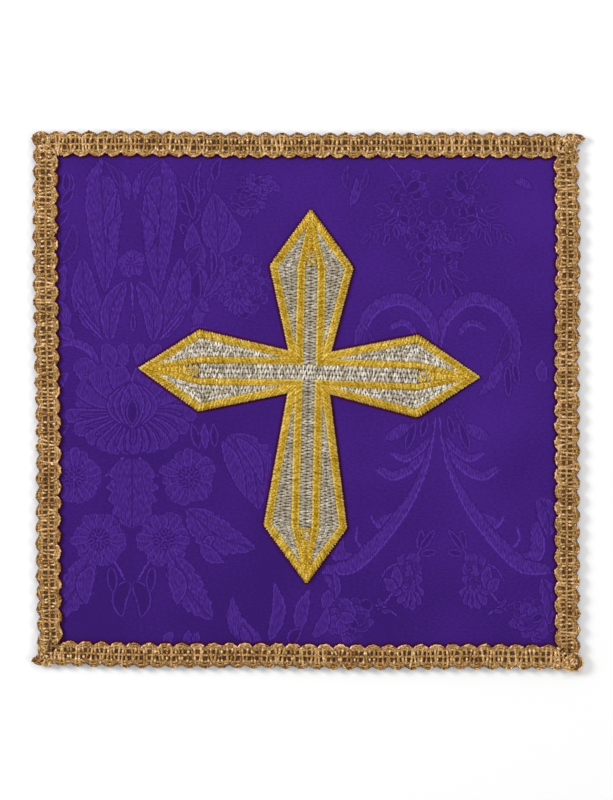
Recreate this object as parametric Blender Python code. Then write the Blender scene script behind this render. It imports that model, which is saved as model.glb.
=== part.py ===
# A small chalice veil, lying flat: a square of damask, four mitred lengths of scalloped gimp braid
# round its edge, and an embroidered cross with pointed, flared arms.
# Sizes are in millimetres and become metres when a mesh is finished. The veil's top edge is towards +Y.

import math

import bmesh
import bpy
from mathutils import Vector

MILLIMETRE = 0.001
CLEARANCE = 0.3                 # between one piece and the next

PANEL_THICK = 1.5               # damask with its turned hem
PANEL_RIM = 0.4                 # rounding of its upper edge
PANEL_INSET = 1.05              # from the scallops' tips in to the edge of the cloth
PANEL_STEPS = 24                # points along each side

BRAID_WIDTH = 8.1               # tip to tip across both rows of scallops
SCALLOP_PITCH = 5.17
SCALLOP_STEPS = 4               # stations along one scallop
OUTER_DEPTH = 1.1               # tip to notch on the free edge
INNER_DEPTH = 1.4               # tip to notch on the cloth side
SCALLOP_FULLNESS = 0.75         # under 1 makes a scallop rounder
BRAID_EDGE_THICK = 0.75
BRAID_CREST_THICK = 1.3         # top of each row of ribs
BRAID_VALLEY_THICK = 1.05       # along the middle, where the rows meet
CREST_AT = 0.3                  # of the width, in from each edge

EAR_THICK = 1.15                # the bunched fold at each corner
EAR_LIFT = 0.1
EAR_SIDES = 12
EAR_TOP = 0.7                   # upper radius as a share of the lower

GROUND_THICK = 0.5              # silver thread fill
GROUND_INSET = 1.2              # the gold border covers its edge
BORDER_THICK = 0.6              # gold satin stitch
BORDER_RIM = 0.2
BORDER_WIDTH = 2.4
BAR_OUTER = 4.6                 # outer edge of the gold bars, from the arm's middle line
BLUNT = 0.7                     # least width left at a tapering end

CROSS_CENTRE = (0.7, 8.9)
CROSS_TILT = -0.9               # degrees
NECK = 6.5                      # corner between two arms, from both middle lines

# Where the lines of scallop tips meet.
CORNERS = {
    "top_left": (-87.7, 86.3),
    "top_right": (86.9, 85.4),
    "bottom_right": (87.4, -86.4),
    "bottom_left": (-86.2, -84.8),
}

# Clockwise. Drift is how far the edge strays inwards at each fifth of the way along.
SIDES = (
    {"name": "top", "start": "top_left", "end": "top_right", "drift": (-0.15, 0.1, 0.0, -0.3)},
    {"name": "right", "start": "top_right", "end": "bottom_right", "drift": (-0.65, -0.25, -0.2, -0.1)},
    {"name": "bottom", "start": "bottom_right", "end": "bottom_left", "drift": (0.0, -0.5, -0.3, -0.55)},
    {"name": "left", "start": "bottom_left", "end": "top_left", "drift": (-0.4, 0.0, -0.4, -0.5)},
)

# Where the braid is folded round a corner it bunches into an ear, which belongs to one of the two lengths.
EARS = (
    {"owner": "top", "neighbour": "left", "centre": (-86.1, 83.7), "radius": 2.0},
    {"owner": "top", "neighbour": "right", "centre": (86.2, 83.6), "radius": 1.8},
    {"owner": "bottom", "neighbour": "right", "centre": (86.2, -84.1), "radius": 2.3},
    {"owner": "bottom", "neighbour": "left", "centre": (-85.6, -83.1), "radius": 1.8},
)

# Anticlockwise. Lengths run out from the middle of the cross; the shoulder is an arm's widest place.
ARMS = (
    {"name": "right", "turn": 0, "reach": 54.6, "shoulder": 35.1, "half_width": 12.95, "silver": 2.15},
    {"name": "top", "turn": 90, "reach": 52.6, "shoulder": 34.2, "half_width": 13.4, "silver": 2.0},
    {"name": "left", "turn": 180, "reach": 54.4, "shoulder": 35.5, "half_width": 13.1, "silver": 2.15},
    {"name": "bottom", "turn": 270, "reach": 67.6, "shoulder": 49.3, "half_width": 13.35, "silver": 2.0},
)

BRAID_BOTTOM = PANEL_THICK + CLEARANCE
GROUND_BOTTOM = PANEL_THICK + CLEARANCE
BORDER_BOTTOM = GROUND_BOTTOM + GROUND_THICK + CLEARANCE


def clear_scene():
    for thing in list(bpy.data.objects):
        bpy.data.objects.remove(thing, do_unlink=True)


def linear(hex_colour):
    shares = [int(hex_colour[i:i + 2], 16) / 255 for i in (1, 3, 5)]
    return [s / 12.92 if s <= 0.04045 else ((s + 0.055) / 1.055) ** 2.4 for s in shares] + [1.0]


def make_material(name, hex_colour, roughness, metallic):
    material = bpy.data.materials.new(name)
    material.use_nodes = True
    shader = material.node_tree.nodes["Principled BSDF"]
    shader.inputs["Base Color"].default_value = linear(hex_colour)
    shader.inputs["Roughness"].default_value = roughness
    shader.inputs["Metallic"].default_value = metallic
    return material


def finish_piece(name, shape, material, smooth=False):
    """Turns a bmesh in millimetres into an object in metres."""
    bmesh.ops.recalc_face_normals(shape, faces=shape.faces[:])
    bmesh.ops.scale(shape, vec=(MILLIMETRE,) * 3, verts=shape.verts[:])
    mesh = bpy.data.meshes.new(name)
    shape.to_mesh(mesh)
    shape.free()
    if material:
        mesh.materials.append(material)
    if smooth:
        mesh.shade_smooth()
        mesh.set_sharp_from_angle(angle=math.radians(40))
    piece = bpy.data.objects.new(name, mesh)
    bpy.context.scene.collection.objects.link(piece)
    return piece


# The four sides


def drift_at(side, share):
    """A smooth curve through the side's drift values, nothing at both corners."""
    knots = (0.0, 0.0) + side["drift"] + (0.0, 0.0)
    spans = len(knots) - 3
    place = min(max(share, 0.0), 1.0) * spans
    first = min(int(place), spans - 1)
    t = place - first
    before, start, end, after = knots[first:first + 4]
    return 0.5 * (
        2 * start
        + (end - before) * t
        + (2 * before - 5 * start + 4 * end - after) * t ** 2
        + (3 * start - before - 3 * end + after) * t ** 3
    )


def side_axes(side):
    """Start corner, length, direction along the side and direction inwards."""
    start = Vector(CORNERS[side["start"]])
    span = Vector(CORNERS[side["end"]]) - start
    along = span.normalized()
    return start, span.length, along, Vector((along.y, -along.x))


def side_point(side, distance, inwards):
    start, length, along, inner = side_axes(side)
    return start + along * distance + inner * (inwards + drift_at(side, distance / length))


def panel_outline():
    points = []
    for side in SIDES:
        length = side_axes(side)[1]
        run = length - 2 * PANEL_INSET
        for step in range(PANEL_STEPS):
            points.append(side_point(side, PANEL_INSET + run * step / PANEL_STEPS, PANEL_INSET))
    return points


# Flat plates with any number of windows


def make_plate(outlines, bottom, thick, rim):
    """The first outline is the plate's edge and the rest are its windows. The upper rims are rounded off."""
    shape = bmesh.new()
    for outline in outlines:
        corners = [shape.verts.new((x, y, bottom)) for x, y in outline]
        for here, there in zip(corners, corners[1:] + corners[:1]):
            shape.edges.new((here, there))
    bmesh.ops.triangle_fill(shape, edges=shape.edges[:], use_beauty=True, use_dissolve=False)
    raised = bmesh.ops.extrude_face_region(shape, geom=shape.faces[:])["geom"]
    upper = {item for item in raised if isinstance(item, bmesh.types.BMVert)}
    bmesh.ops.translate(shape, vec=(0, 0, thick), verts=list(upper))
    bmesh.ops.recalc_face_normals(shape, faces=shape.faces[:])
    if rim:
        edges = [
            edge for edge in shape.edges
            if upper.issuperset(edge.verts) and min(abs(face.normal.z) for face in edge.link_faces) < 0.5
        ]
        bmesh.ops.bevel(
            shape, geom=edges, offset=rim, affect="EDGES", segments=2, profile=0.5,
            material=-1, clamp_overlap=True,
        )
    return shape


# Gimp braid


def scallop(share):
    """0 in a notch and 1 at the tip between two notches."""
    return math.sin(math.pi * (share % 1.0)) ** SCALLOP_FULLNESS


def braid_section(side, distance, share):
    """One station's seven points. Tips on the cloth side face notches on the free side."""
    free_edge = OUTER_DEPTH * (1 - scallop(share))
    cloth_edge = BRAID_WIDTH - INNER_DEPTH * (1 - scallop(share + 0.5))
    profile = (
        (free_edge, 0.0),
        (free_edge, BRAID_EDGE_THICK),
        (BRAID_WIDTH * CREST_AT, BRAID_CREST_THICK),
        (BRAID_WIDTH / 2, BRAID_VALLEY_THICK),
        (BRAID_WIDTH * (1 - CREST_AT), BRAID_CREST_THICK),
        (cloth_edge, BRAID_EDGE_THICK),
        (cloth_edge, 0.0),
    )
    return [(*side_point(side, distance, inwards), BRAID_BOTTOM + height) for inwards, height in profile]


def mitre_cut(shape, corner, outwards, bisector):
    """Cuts a length of braid off on the line that halves its corner, half a clearance short of it."""
    across = (outwards - bisector * outwards.dot(bisector)).normalized()
    place = Vector(corner) - across * CLEARANCE / 2
    cut = bmesh.ops.bisect_plane(
        shape, geom=shape.verts[:] + shape.edges[:] + shape.faces[:],
        plane_co=(*place, 0), plane_no=(*across, 0), clear_outer=True,
    )
    edges = [item for item in cut["geom_cut"] if isinstance(item, bmesh.types.BMEdge)]
    bmesh.ops.edgeloop_fill(shape, edges=edges)


def make_braid(index, material):
    side = SIDES[index]
    length, along, inner = side_axes(side)[1:]
    count = round(length / SCALLOP_PITCH)
    step = length / count / SCALLOP_STEPS
    spare = SCALLOP_STEPS // 2
    shape = bmesh.new()
    sections = []
    for station in range(-spare, count * SCALLOP_STEPS + spare + 1):
        points = braid_section(side, station * step, station / SCALLOP_STEPS)
        sections.append([shape.verts.new(point) for point in points])
    for near, far in zip(sections, sections[1:]):
        for here in range(len(near)):
            there = (here + 1) % len(near)
            shape.faces.new((near[here], near[there], far[there], far[here]))
    shape.faces.new(sections[0])
    shape.faces.new(sections[-1])
    before = side_axes(SIDES[index - 1])[3]
    after = side_axes(SIDES[(index + 1) % len(SIDES)])[3]
    mitre_cut(shape, CORNERS[side["start"]], -along, (inner + before).normalized())
    mitre_cut(shape, CORNERS[side["end"]], along, (inner + after).normalized())
    return finish_piece("braid_" + side["name"], shape, material, smooth=True)


def ear_shape(ear, lower, upper, bottom, thick):
    shape = bmesh.new()
    bmesh.ops.create_cone(
        shape, cap_ends=True, segments=EAR_SIDES, radius1=lower, radius2=upper, depth=thick,
    )
    bmesh.ops.translate(shape, vec=(*ear["centre"], bottom + thick / 2), verts=shape.verts[:])
    return shape


def add_boolean(piece, helper, operation):
    helper.hide_render = True
    helper.display_type = "WIRE"
    boolean = piece.modifiers.new(helper.name, "BOOLEAN")
    boolean.operation = operation
    boolean.solver = "EXACT"
    boolean.object = helper


def add_ears(braids):
    """Joins each ear to its own length and cuts room for it out of the neighbour."""
    helpers = []
    for number, ear in enumerate(EARS):
        radius = ear["radius"]
        lump = ear_shape(ear, radius, radius * EAR_TOP, BRAID_BOTTOM + EAR_LIFT, EAR_THICK)
        room = ear_shape(ear, radius + CLEARANCE, radius + CLEARANCE, BRAID_BOTTOM - 1, EAR_THICK + 2)
        lump = finish_piece(f"ear_{number}", lump, None)
        room = finish_piece(f"ear_room_{number}", room, None)
        add_boolean(braids[ear["owner"]], lump, "UNION")
        add_boolean(braids[ear["neighbour"]], room, "DIFFERENCE")
        helpers += [lump, room]
    return helpers


# Embroidered cross


def on_arm(arm, out, aside):
    """A point given along and across an arm, turned to its place on the panel."""
    angle = math.radians(arm["turn"] + CROSS_TILT)
    return Vector((
        CROSS_CENTRE[0] + out * math.cos(angle) - aside * math.sin(angle),
        CROSS_CENTRE[1] + out * math.sin(angle) + aside * math.cos(angle),
    ))


def crossing(first, second):
    """Where two lines meet, each given by two points."""
    (a, b), (c, d) = first, second
    run, other = b - a, d - c
    return a + run * (c - a).cross(other) / run.cross(other)


def shifted(start, end, distance):
    """The line through two points, moved to its left."""
    along = (end - start).normalized()
    aside = Vector((-along.y, along.x)) * distance
    return start + aside, end + aside


def inset_outline(points, distance):
    """An anticlockwise outline drawn in by one distance all round."""
    count = len(points)
    lines = [shifted(points[i], points[(i + 1) % count], distance) for i in range(count)]
    return [crossing(lines[i - 1], lines[i]) for i in range(count)]


def cross_outline():
    points = []
    for arm in ARMS:
        points.append(on_arm(arm, arm["shoulder"], -arm["half_width"]))
        points.append(on_arm(arm, arm["reach"], 0))
        points.append(on_arm(arm, arm["shoulder"], arm["half_width"]))
        points.append(on_arm(arm, NECK, NECK))
    return points


def side_window(arm, hand):
    """The silver field on one hand of an arm, between its gold border and its gold bar."""
    neck = Vector((NECK, NECK))
    shoulder = Vector((arm["shoulder"], arm["half_width"]))
    tip = Vector((arm["reach"], 0))
    flank = shifted(neck, shoulder, -BORDER_WIDTH)
    slope = shifted(shoulder, tip, -BORDER_WIDTH)
    bar = (Vector((0, BAR_OUTER)), Vector((arm["shoulder"], BAR_OUTER)))
    blade = (bar[1], tip)
    taper = (shoulder.y - neck.y) / (shoulder.x - neck.x)
    start = crossing(flank, bar).x + BLUNT / taper
    corners = (
        Vector((start, BAR_OUTER)),
        Vector((start, BAR_OUTER + BLUNT)),
        crossing(flank, slope),
        crossing(slope, blade),
        bar[1],
    )
    return [on_arm(arm, corner.x, corner.y * hand) for corner in corners]


def middle_window():
    """The silver bars that run along all four arms and cross in the middle."""
    points = []
    for number, arm in enumerate(ARMS):
        following = ARMS[(number + 1) % len(ARMS)]
        points.append(on_arm(arm, arm["shoulder"], -arm["silver"]))
        points.append(on_arm(arm, arm["shoulder"], arm["silver"]))
        points.append(on_arm(arm, following["silver"], arm["silver"]))
    return points


def make_cross(silver, gold):
    outline = cross_outline()
    ground = make_plate([inset_outline(outline, GROUND_INSET)], GROUND_BOTTOM, GROUND_THICK, 0)
    windows = [side_window(arm, hand) for arm in ARMS for hand in (1, -1)]
    border = make_plate([outline, middle_window(), *windows], BORDER_BOTTOM, BORDER_THICK, BORDER_RIM)
    return [
        finish_piece("silver_cross_fill", ground, silver),
        finish_piece("gold_cross_border", border, gold),
    ]


def rest_on_origin(pieces):
    """Parents everything to one empty, placed so that the middle of the braided edge is over the origin."""
    braids = [piece for piece in pieces if piece.name.startswith(("braid_", "ear_"))]
    braids = [piece for piece in braids if not piece.name.startswith("ear_room")]
    points = [vertex.co for piece in braids for vertex in piece.data.vertices]
    middle = [(min(p[axis] for p in points) + max(p[axis] for p in points)) / 2 for axis in (0, 1)]
    root = bpy.data.objects.new("veil", None)
    bpy.context.scene.collection.objects.link(root)
    root.location = (-middle[0], -middle[1], 0)
    for piece in pieces:
        piece.parent = root


def main():
    clear_scene()
    damask = make_material("violet_damask", "#42217A", 0.42, 0.0)
    gimp = make_material("copper_gold_gimp", "#9E7A4E", 0.4, 0.6)
    silver = make_material("silver_thread", "#9B9078", 0.45, 0.4)
    gold = make_material("gold_thread", "#C4A22E", 0.4, 0.4)
    panel = make_plate([panel_outline()], 0, PANEL_THICK, PANEL_RIM)
    pieces = [finish_piece("damask_panel", panel, damask)]
    braids = {side["name"]: make_braid(index, gimp) for index, side in enumerate(SIDES)}
    pieces += braids.values()
    pieces += add_ears(braids)
    pieces += make_cross(silver, gold)
    rest_on_origin(pieces)


main()
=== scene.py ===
# A small chalice veil laid flat: violet damask, scalloped gimp braid round its edge and an embroidered
# cross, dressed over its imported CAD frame. Lengths in the dictionaries are millimetres on the veil, with
# its top edge towards +Y, and become metres in the frame when a mesh is finished.

import math
import random

import bmesh
import bpy
import numpy as np
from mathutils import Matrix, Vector, geometry, noise


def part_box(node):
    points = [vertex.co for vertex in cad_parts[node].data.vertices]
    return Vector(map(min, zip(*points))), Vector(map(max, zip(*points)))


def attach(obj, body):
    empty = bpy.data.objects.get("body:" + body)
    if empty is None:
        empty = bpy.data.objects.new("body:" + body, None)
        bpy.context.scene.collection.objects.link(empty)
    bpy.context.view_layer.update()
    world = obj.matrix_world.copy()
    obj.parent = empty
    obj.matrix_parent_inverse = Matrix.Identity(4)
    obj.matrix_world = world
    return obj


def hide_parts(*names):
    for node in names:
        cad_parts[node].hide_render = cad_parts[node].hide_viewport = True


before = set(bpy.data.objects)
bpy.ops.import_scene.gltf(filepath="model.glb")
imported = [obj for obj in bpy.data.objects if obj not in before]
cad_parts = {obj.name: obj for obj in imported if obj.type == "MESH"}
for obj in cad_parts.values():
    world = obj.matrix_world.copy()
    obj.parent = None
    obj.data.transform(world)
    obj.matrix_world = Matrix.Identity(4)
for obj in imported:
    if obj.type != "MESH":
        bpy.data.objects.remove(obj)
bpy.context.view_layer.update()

millimetre = 0.001
dice = random.Random(11)

# The same plan as the CAD: where the lines of scallop tips meet, and how far each edge strays inwards.
veilPlan = {
    "corners": ((-87.7, 86.3), (86.9, 85.4), (87.4, -86.4), (-86.2, -84.8)),
    "sides": ("top", "right", "bottom", "left"),
    "drift": (
        (-0.15, 0.1, 0.0, -0.3), (-0.65, -0.25, -0.2, -0.1), (0.0, -0.5, -0.3, -0.55), (-0.4, 0.0, -0.4, -0.5),
    ),
    "clothInset": 1.05,
    "clothSteps": 24,
}

# The embroidery keeps to its CAD plates within a millimetre: the arms' lean and tips are finer here.
crossPlan = {
    "centre": (0.7, 9.05),
    "tilt": -0.9,
    "neck": 6.5,            # corner between two arms, from both middle lines
    "borderWidth": 2.2,
    "barOuter": 4.55,
    # turn, reach, shoulder, half width, half the silver bar, how far the tip lies to the left of the arm's
    # middle line, and how much further out the left shoulder is, anticlockwise from the right arm
    "arms": (
        (-1.2, 54.5, 34.8, 12.95, 2.4, 0.45, -0.3), (89.6, 52.0, 33.8, 13.1, 2.0, 0.65, 0.0),
        (180, 54.4, 35.3, 12.8, 2.4, -0.45, 0.0), (269.45, 67.5, 49.4, 13.05, 2.0, 0.75, 0.15),
    ),
}


# Small tools

def linearColour(hexColour):
    shares = [int(hexColour[i:i + 2], 16) / 255 for i in (1, 3, 5)]
    return [s / 12.92 if s <= 0.04045 else ((s + 0.055) / 1.055) ** 2.4 for s in shares] + [1.0]


def unitAt(angle):
    return Vector((math.cos(angle), math.sin(angle)))


def leftOf(run):
    return Vector((-run.y, run.x))


# The direction of a line at one of its points, from the points beside it.
def runAt(line, i):
    return (line[min(i + 1, len(line) - 1)] - line[max(i - 1, 0)]).normalized()


# Each input is a value, or the socket that feeds it.
def setInputs(node, inputs):
    for name, value in inputs.items():
        if isinstance(value, bpy.types.NodeSocket):
            node.id_data.links.new(value, node.inputs[name])
        else:
            node.inputs[name].default_value = value


def addNode(tree, kind, inputs, output=0, **settings):
    node = tree.nodes.new("ShaderNode" + kind)
    for name, value in settings.items():
        setattr(node, name, value)
    setInputs(node, inputs)
    return node.outputs[output]


def newMaterial(name):
    material = bpy.data.materials.new(name)
    material.use_nodes = True
    return material, material.node_tree, material.node_tree.nodes["Principled BSDF"]


def finishPiece(name, shape, materials, standsFor, smoothAngle=60):
    mesh = bpy.data.meshes.new(name)
    shape.to_mesh(mesh)
    shape.free()
    for material in materials:
        mesh.materials.append(material)
    mesh.shade_smooth()
    mesh.set_sharp_from_angle(angle=math.radians(smoothAngle))
    piece = bpy.data.objects.new(name, mesh)
    bpy.context.scene.collection.objects.link(piece)
    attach(piece, "root")
    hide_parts(standsFor)
    print(f"{name}: {sum(len(face.vertices) - 2 for face in mesh.polygons)} triangles")
    return piece


# The veil's plan

# A Catmull-Rom curve through all its knots but the outer two, at a share of its length from 0 to 1.
def curveAt(knots, share):
    spans = len(knots) - 3
    place = min(max(share, 0.0), 1.0) * spans
    first = min(int(place), spans - 1)
    before, start, end, after = knots[first:first + 4]
    t = place - first
    return 0.5 * (
        2 * start
        + (end - before) * t
        + (2 * before - 5 * start + 4 * end - after) * t ** 2
        + (3 * start - before - 3 * end + after) * t ** 3
    )


def smoothLine(points, count):
    knots = [Vector(point) for point in points]
    knots = [2 * knots[0] - knots[1], *knots, 2 * knots[-1] - knots[-2]]
    return [curveAt(knots, step / count) for step in range(count + 1)]


def driftAt(index, share):
    return curveAt((0.0, 0.0, *veilPlan["drift"][index], 0.0, 0.0), share)


def sideAxes(index):
    start = Vector(veilPlan["corners"][index])
    span = Vector(veilPlan["corners"][(index + 1) % 4]) - start
    along = span.normalized()
    return start, span.length, along, Vector((along.y, -along.x))


def sidePoint(index, distance, inwards):
    start, length, along, inner = sideAxes(index)
    return start + along * distance + inner * (inwards + driftAt(index, distance / length))


def clothOutline(inset):
    points = []
    for index in range(4):
        run = sideAxes(index)[1] - 2 * inset
        for step in range(veilPlan["clothSteps"]):
            points.append(sidePoint(index, inset + run * step / veilPlan["clothSteps"], inset))
    return points


# The frame's origin is under the middle of the braids, so the cloth's box says where the plan lies in it.
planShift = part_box("damask_panel")[0].to_2d() / millimetre - Vector(
    min(point[axis] for point in clothOutline(veilPlan["clothInset"])) for axis in (0, 1)
)


def inFrame(x, y, z):
    return Vector((x + planShift.x, y + planShift.y, z)) * millimetre


# Cross

def onArm(arm, out, aside):
    angle = math.radians(arm[0] + crossPlan["tilt"])
    across, up = math.cos(angle), math.sin(angle)
    return Vector(crossPlan["centre"]) + Vector((out * across - aside * up, out * up + aside * across))


# Past the shoulder an arm's middle line bends to its tip.
def onBlade(arm, out, aside):
    reach, shoulder, tipAside = arm[1], arm[2], arm[5]
    return onArm(arm, out, aside + tipAside * (out - shoulder) / (reach - shoulder))


def crossing(a, b, c, d):
    run, other = b - a, d - c
    return a + run * ((c - a).cross(other) / run.cross(other))


def shifted(start, end, distance):
    aside = leftOf((end - start).normalized()) * distance
    return start + aside, end + aside


def crossOutline(inset=0.0):
    points = []
    for arm in crossPlan["arms"]:
        reach, shoulder, halfWidth, _, tipAside, skew = arm[1:]
        points.append(onArm(arm, shoulder - skew, -halfWidth))
        points.append(onArm(arm, reach, tipAside))
        points.append(onArm(arm, shoulder + skew, halfWidth))
        points.append(onArm(arm, crossPlan["neck"], crossPlan["neck"]))
    lines = [shifted(point, points[(i + 1) % 16], inset) for i, point in enumerate(points)]
    return [crossing(*lines[i - 1], *lines[i]) for i in range(16)]


# Threads and cords. A straight unit thread is made once for each number of rings, and its copies are bent.

straightThreads = {}
threadMesh = bpy.data.meshes.new("oneThread")


def straightThread(rings, sides):
    if (rings, sides) not in straightThreads:
        shape = bmesh.new()
        bmesh.ops.create_cone(shape, cap_ends=True, segments=sides, radius1=1, radius2=1, depth=1)
        lengthwise = [edge for edge in shape.edges if abs(edge.verts[0].co.z - edge.verts[1].co.z) > 0.5]
        bmesh.ops.subdivide_edges(shape, edges=lengthwise, cuts=rings - 2)
        thread = shape.verts.layers.float_vector.new("thread")
        shape.verts.layers.float.new("tone")
        for vertex in shape.verts:
            ring = round((vertex.co.z + 0.5) * (rings - 1))
            vertex[thread] = (ring, vertex.co.x, vertex.co.y)
        straightThreads[rings, sides] = shape
    return straightThreads[rings, sides]


def layThread(shape, path, radii, tones, sides=6):
    count = len(path)
    radii, tones = (
        given if isinstance(given, (list, tuple)) else [given] * count for given in (radii, tones)
    )
    stations = []
    run = 0.0
    for i, point in enumerate(path):
        tangent = runAt(path, i)
        aside = tangent.cross(Vector((0, 0, 1))).normalized()
        run += (point - path[i - 1]).length if i else 0.0
        stations.append((point, aside * radii[i], aside.cross(tangent) * radii[i], run, tones[i]))
    single = straightThread(count, sides).copy()
    thread = single.verts.layers.float_vector["thread"]
    toneLayer = single.verts.layers.float["tone"]
    for vertex in single.verts:
        ring, right, up = vertex[thread]
        point, aside, above, run, tone = stations[int(ring + 0.5)]
        vertex.co = point + aside * right + above * up
        vertex[thread] = (run, right, up)
        vertex[toneLayer] = tone
    single.to_mesh(threadMesh)
    single.free()
    shape.from_mesh(threadMesh)


def moveToFrame(shape):
    bmesh.ops.translate(shape, vec=(planShift.x, planShift.y, 0), verts=shape.verts[:])
    bmesh.ops.scale(shape, vec=(millimetre,) * 3, verts=shape.verts[:])


# A body under threads takes the second material and has the threads' layers.
def asPadding(shape):
    for face in shape.faces:
        face.material_index = 1
    shape.verts.layers.float_vector.new("thread")
    shape.verts.layers.float.new("tone")
    return shape


# A CAD node's mesh as a body for the threads to lie on, in plan millimetres, with new heights.
def bodyFromNode(name, bottom, top):
    low, high = (corner.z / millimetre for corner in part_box(name))
    shape = bmesh.new()
    shape.from_mesh(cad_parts[name].data)
    bmesh.ops.remove_doubles(shape, verts=shape.verts[:], dist=1e-6)
    bmesh.ops.scale(shape, vec=(1 / millimetre,) * 3, verts=shape.verts[:])
    bmesh.ops.translate(shape, vec=(-planShift.x, -planShift.y, 0), verts=shape.verts[:])
    for vertex in shape.verts:
        vertex.co.z = bottom + (vertex.co.z - low) / (high - low) * (top - bottom)
    return asPadding(shape)


# Felt under the stitches: a flat plate of one outline.
def feltPlate(outline, bottom, top):
    shape = bmesh.new()
    lower = shape.faces.new([shape.verts.new((*point, bottom)) for point in outline])
    raised = bmesh.ops.extrude_face_region(shape, geom=[lower], use_keep_orig=True)["geom"]
    bmesh.ops.translate(
        shape, vec=(0, 0, top - bottom), verts=[item for item in raised if isinstance(item, bmesh.types.BMVert)],
    )
    bmesh.ops.recalc_face_normals(shape, faces=shape.faces[:])
    return asPadding(shape)


# Materials

# Colours of film and padding, how strongly the film's flecks show, and sizes in millimetres.
threadLooks = (
    {"thread": "gimpCord",
     "film": {"dark": "#70441A", "middle": "#BE9358", "light": "#FCD8AC", "tint": "#D6E0A0", "fleck": 0.6,
              "mottle": 0.7, "twist": 0.35},
     "padding": {"name": "gimpCore", "dark": "#341A18", "light": "#744A20", "grain": 0.5}},
    {"thread": "goldThread",
     "film": {"dark": "#906C00", "middle": "#D4AE0E", "light": "#FFF0A0", "tint": "#FFE8A0", "fleck": 0.45,
              "mottle": 0.8, "twist": 0.3},
     "padding": {"name": "goldUnderlay", "dark": "#5A3E06", "light": "#8A6A14", "grain": 0.4}},
    {"thread": "silverThread",
     "film": {"dark": "#7A7258", "middle": "#C4BAA2", "light": "#FFFAF2", "tint": "#E6D8E2", "fleck": 0.45,
              "mottle": 0.7, "twist": 0.3},
     "padding": {"name": "silverUnderlay", "dark": "#3A3020", "light": "#6A5C44", "grain": 0.4}},
)


# Metallised film wound on a thread: noise paints bright flecks of highlight where the film would face the light, with
# dull film between them.
def threadMaterial(name, dark, middle, light, tint, fleck, mottle, twist):
    material, tree, shader = newMaterial(name)
    place = addNode(tree, "TexCoord", {}, "Object")
    tone = addNode(tree, "Attribute", {}, "Fac", attribute_name="tone")
    flecks = addNode(tree, "TexNoise", {"Vector": place, "Scale": 1000 / fleck, "Detail": 2.0, "Roughness": 0.6})
    spread = addNode(tree, "MapRange", {"Value": flecks, "From Min": 0.3, "From Max": 0.7})
    mixed = addNode(tree, "Math", {0: spread, 1: mottle, 2: tone}, operation="MULTIPLY_ADD")
    mixed = addNode(tree, "Math", {0: mixed, 1: mottle / 2}, operation="SUBTRACT")
    ramp = addNode(tree, "ValToRGB", {"Fac": mixed})
    stops = ramp.node.color_ramp.elements
    stops.new(0.5)
    for stop, colour in zip(stops, (dark, middle, light)):
        stop.color = linearColour(colour)
    drift = addNode(tree, "TexNoise", {"Vector": place, "Scale": 1000 / (fleck * 3.5), "Detail": 2.0})
    drift = addNode(tree, "MapRange", {"Value": drift, "From Min": 0.45, "From Max": 0.7, "To Max": 0.55})
    colour = addNode(
        tree, "Mix", {0: drift, 6: ramp, 7: linearColour(tint)}, 2, data_type="RGBA", blend_type="MULTIPLY",
    )
    rough = addNode(tree, "MapRange", {"Value": spread, "To Min": 0.55, "To Max": 0.35})
    # The film's turns round the thread, from the length run and the place round it.
    thread = addNode(tree, "Attribute", {}, "Vector", attribute_name="thread")
    run, right, up = addNode(tree, "SeparateXYZ", {0: thread}).node.outputs
    angle = addNode(tree, "Math", {0: run, 1: 2 * math.pi / twist}, operation="MULTIPLY")
    sine, cosine = (addNode(tree, "Math", {0: angle}, operation=kind) for kind in ("SINE", "COSINE"))
    first = addNode(tree, "Math", {0: sine, 1: right}, operation="MULTIPLY")
    turns = addNode(tree, "Math", {0: cosine, 1: up, 2: first}, operation="MULTIPLY_ADD")
    height = addNode(tree, "Math", {0: turns, 1: 0.3, 2: flecks}, operation="MULTIPLY_ADD")
    bump = addNode(tree, "Bump", {"Height": height, "Strength": 0.7, "Distance": 0.00012})
    setInputs(shader, {"Metallic": 0.5, "Base Color": colour, "Roughness": rough, "Normal": bump})
    return material


# Dull cotton and felt under the metal threads, seen only in the gaps.
def paddingMaterial(name, dark, light, grain):
    material, tree, shader = newMaterial(name)
    place = addNode(tree, "TexCoord", {}, "Object")
    fibres = addNode(tree, "TexNoise", {"Vector": place, "Scale": 1000 / grain, "Detail": 3.0})
    ramp = addNode(tree, "ValToRGB", {"Fac": fibres})
    for stop, position, colour in zip(ramp.node.color_ramp.elements, (0.35, 0.65), (dark, light)):
        stop.position, stop.color = position, linearColour(colour)
    bump = addNode(tree, "Bump", {"Height": fibres, "Strength": 0.6, "Distance": 0.0001})
    setInputs(shader, {"Roughness": 0.9, "Base Color": ramp, "Normal": bump})
    return material


damaskLook = {
    "ground": "#44227D",
    "groundDark": "#341862",
    "figure": "#573298",
    "shadeBeside": "#2A1150",    # painted shade on the ground just beside a figure
    # a painted shadow along the cross and the braid: its colour, and the distances over which it fades out
    "seam": "#460E26",
    "seamFrom": 0.75,
    "seamTo": 1.35,
    "gloss": "#7A48E8",
    "sheen": "#6A40C0",
    "streakWidth": 0.3,
    "streakLength": 1.7,
    "streakLean": 14,       # degrees to the right of the warp
    "weave": 0.55,          # drawn coarser than its true 0.1 mm, so that it shows
    "edgeFray": 0.35,
    "clouds": 38,           # size of the slow changes of depth
    "sheenSlope": (1.2, 1.7, 0.0),    # painted sheen: how much lighter the ground grows for each metre to the right and up
}
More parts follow.
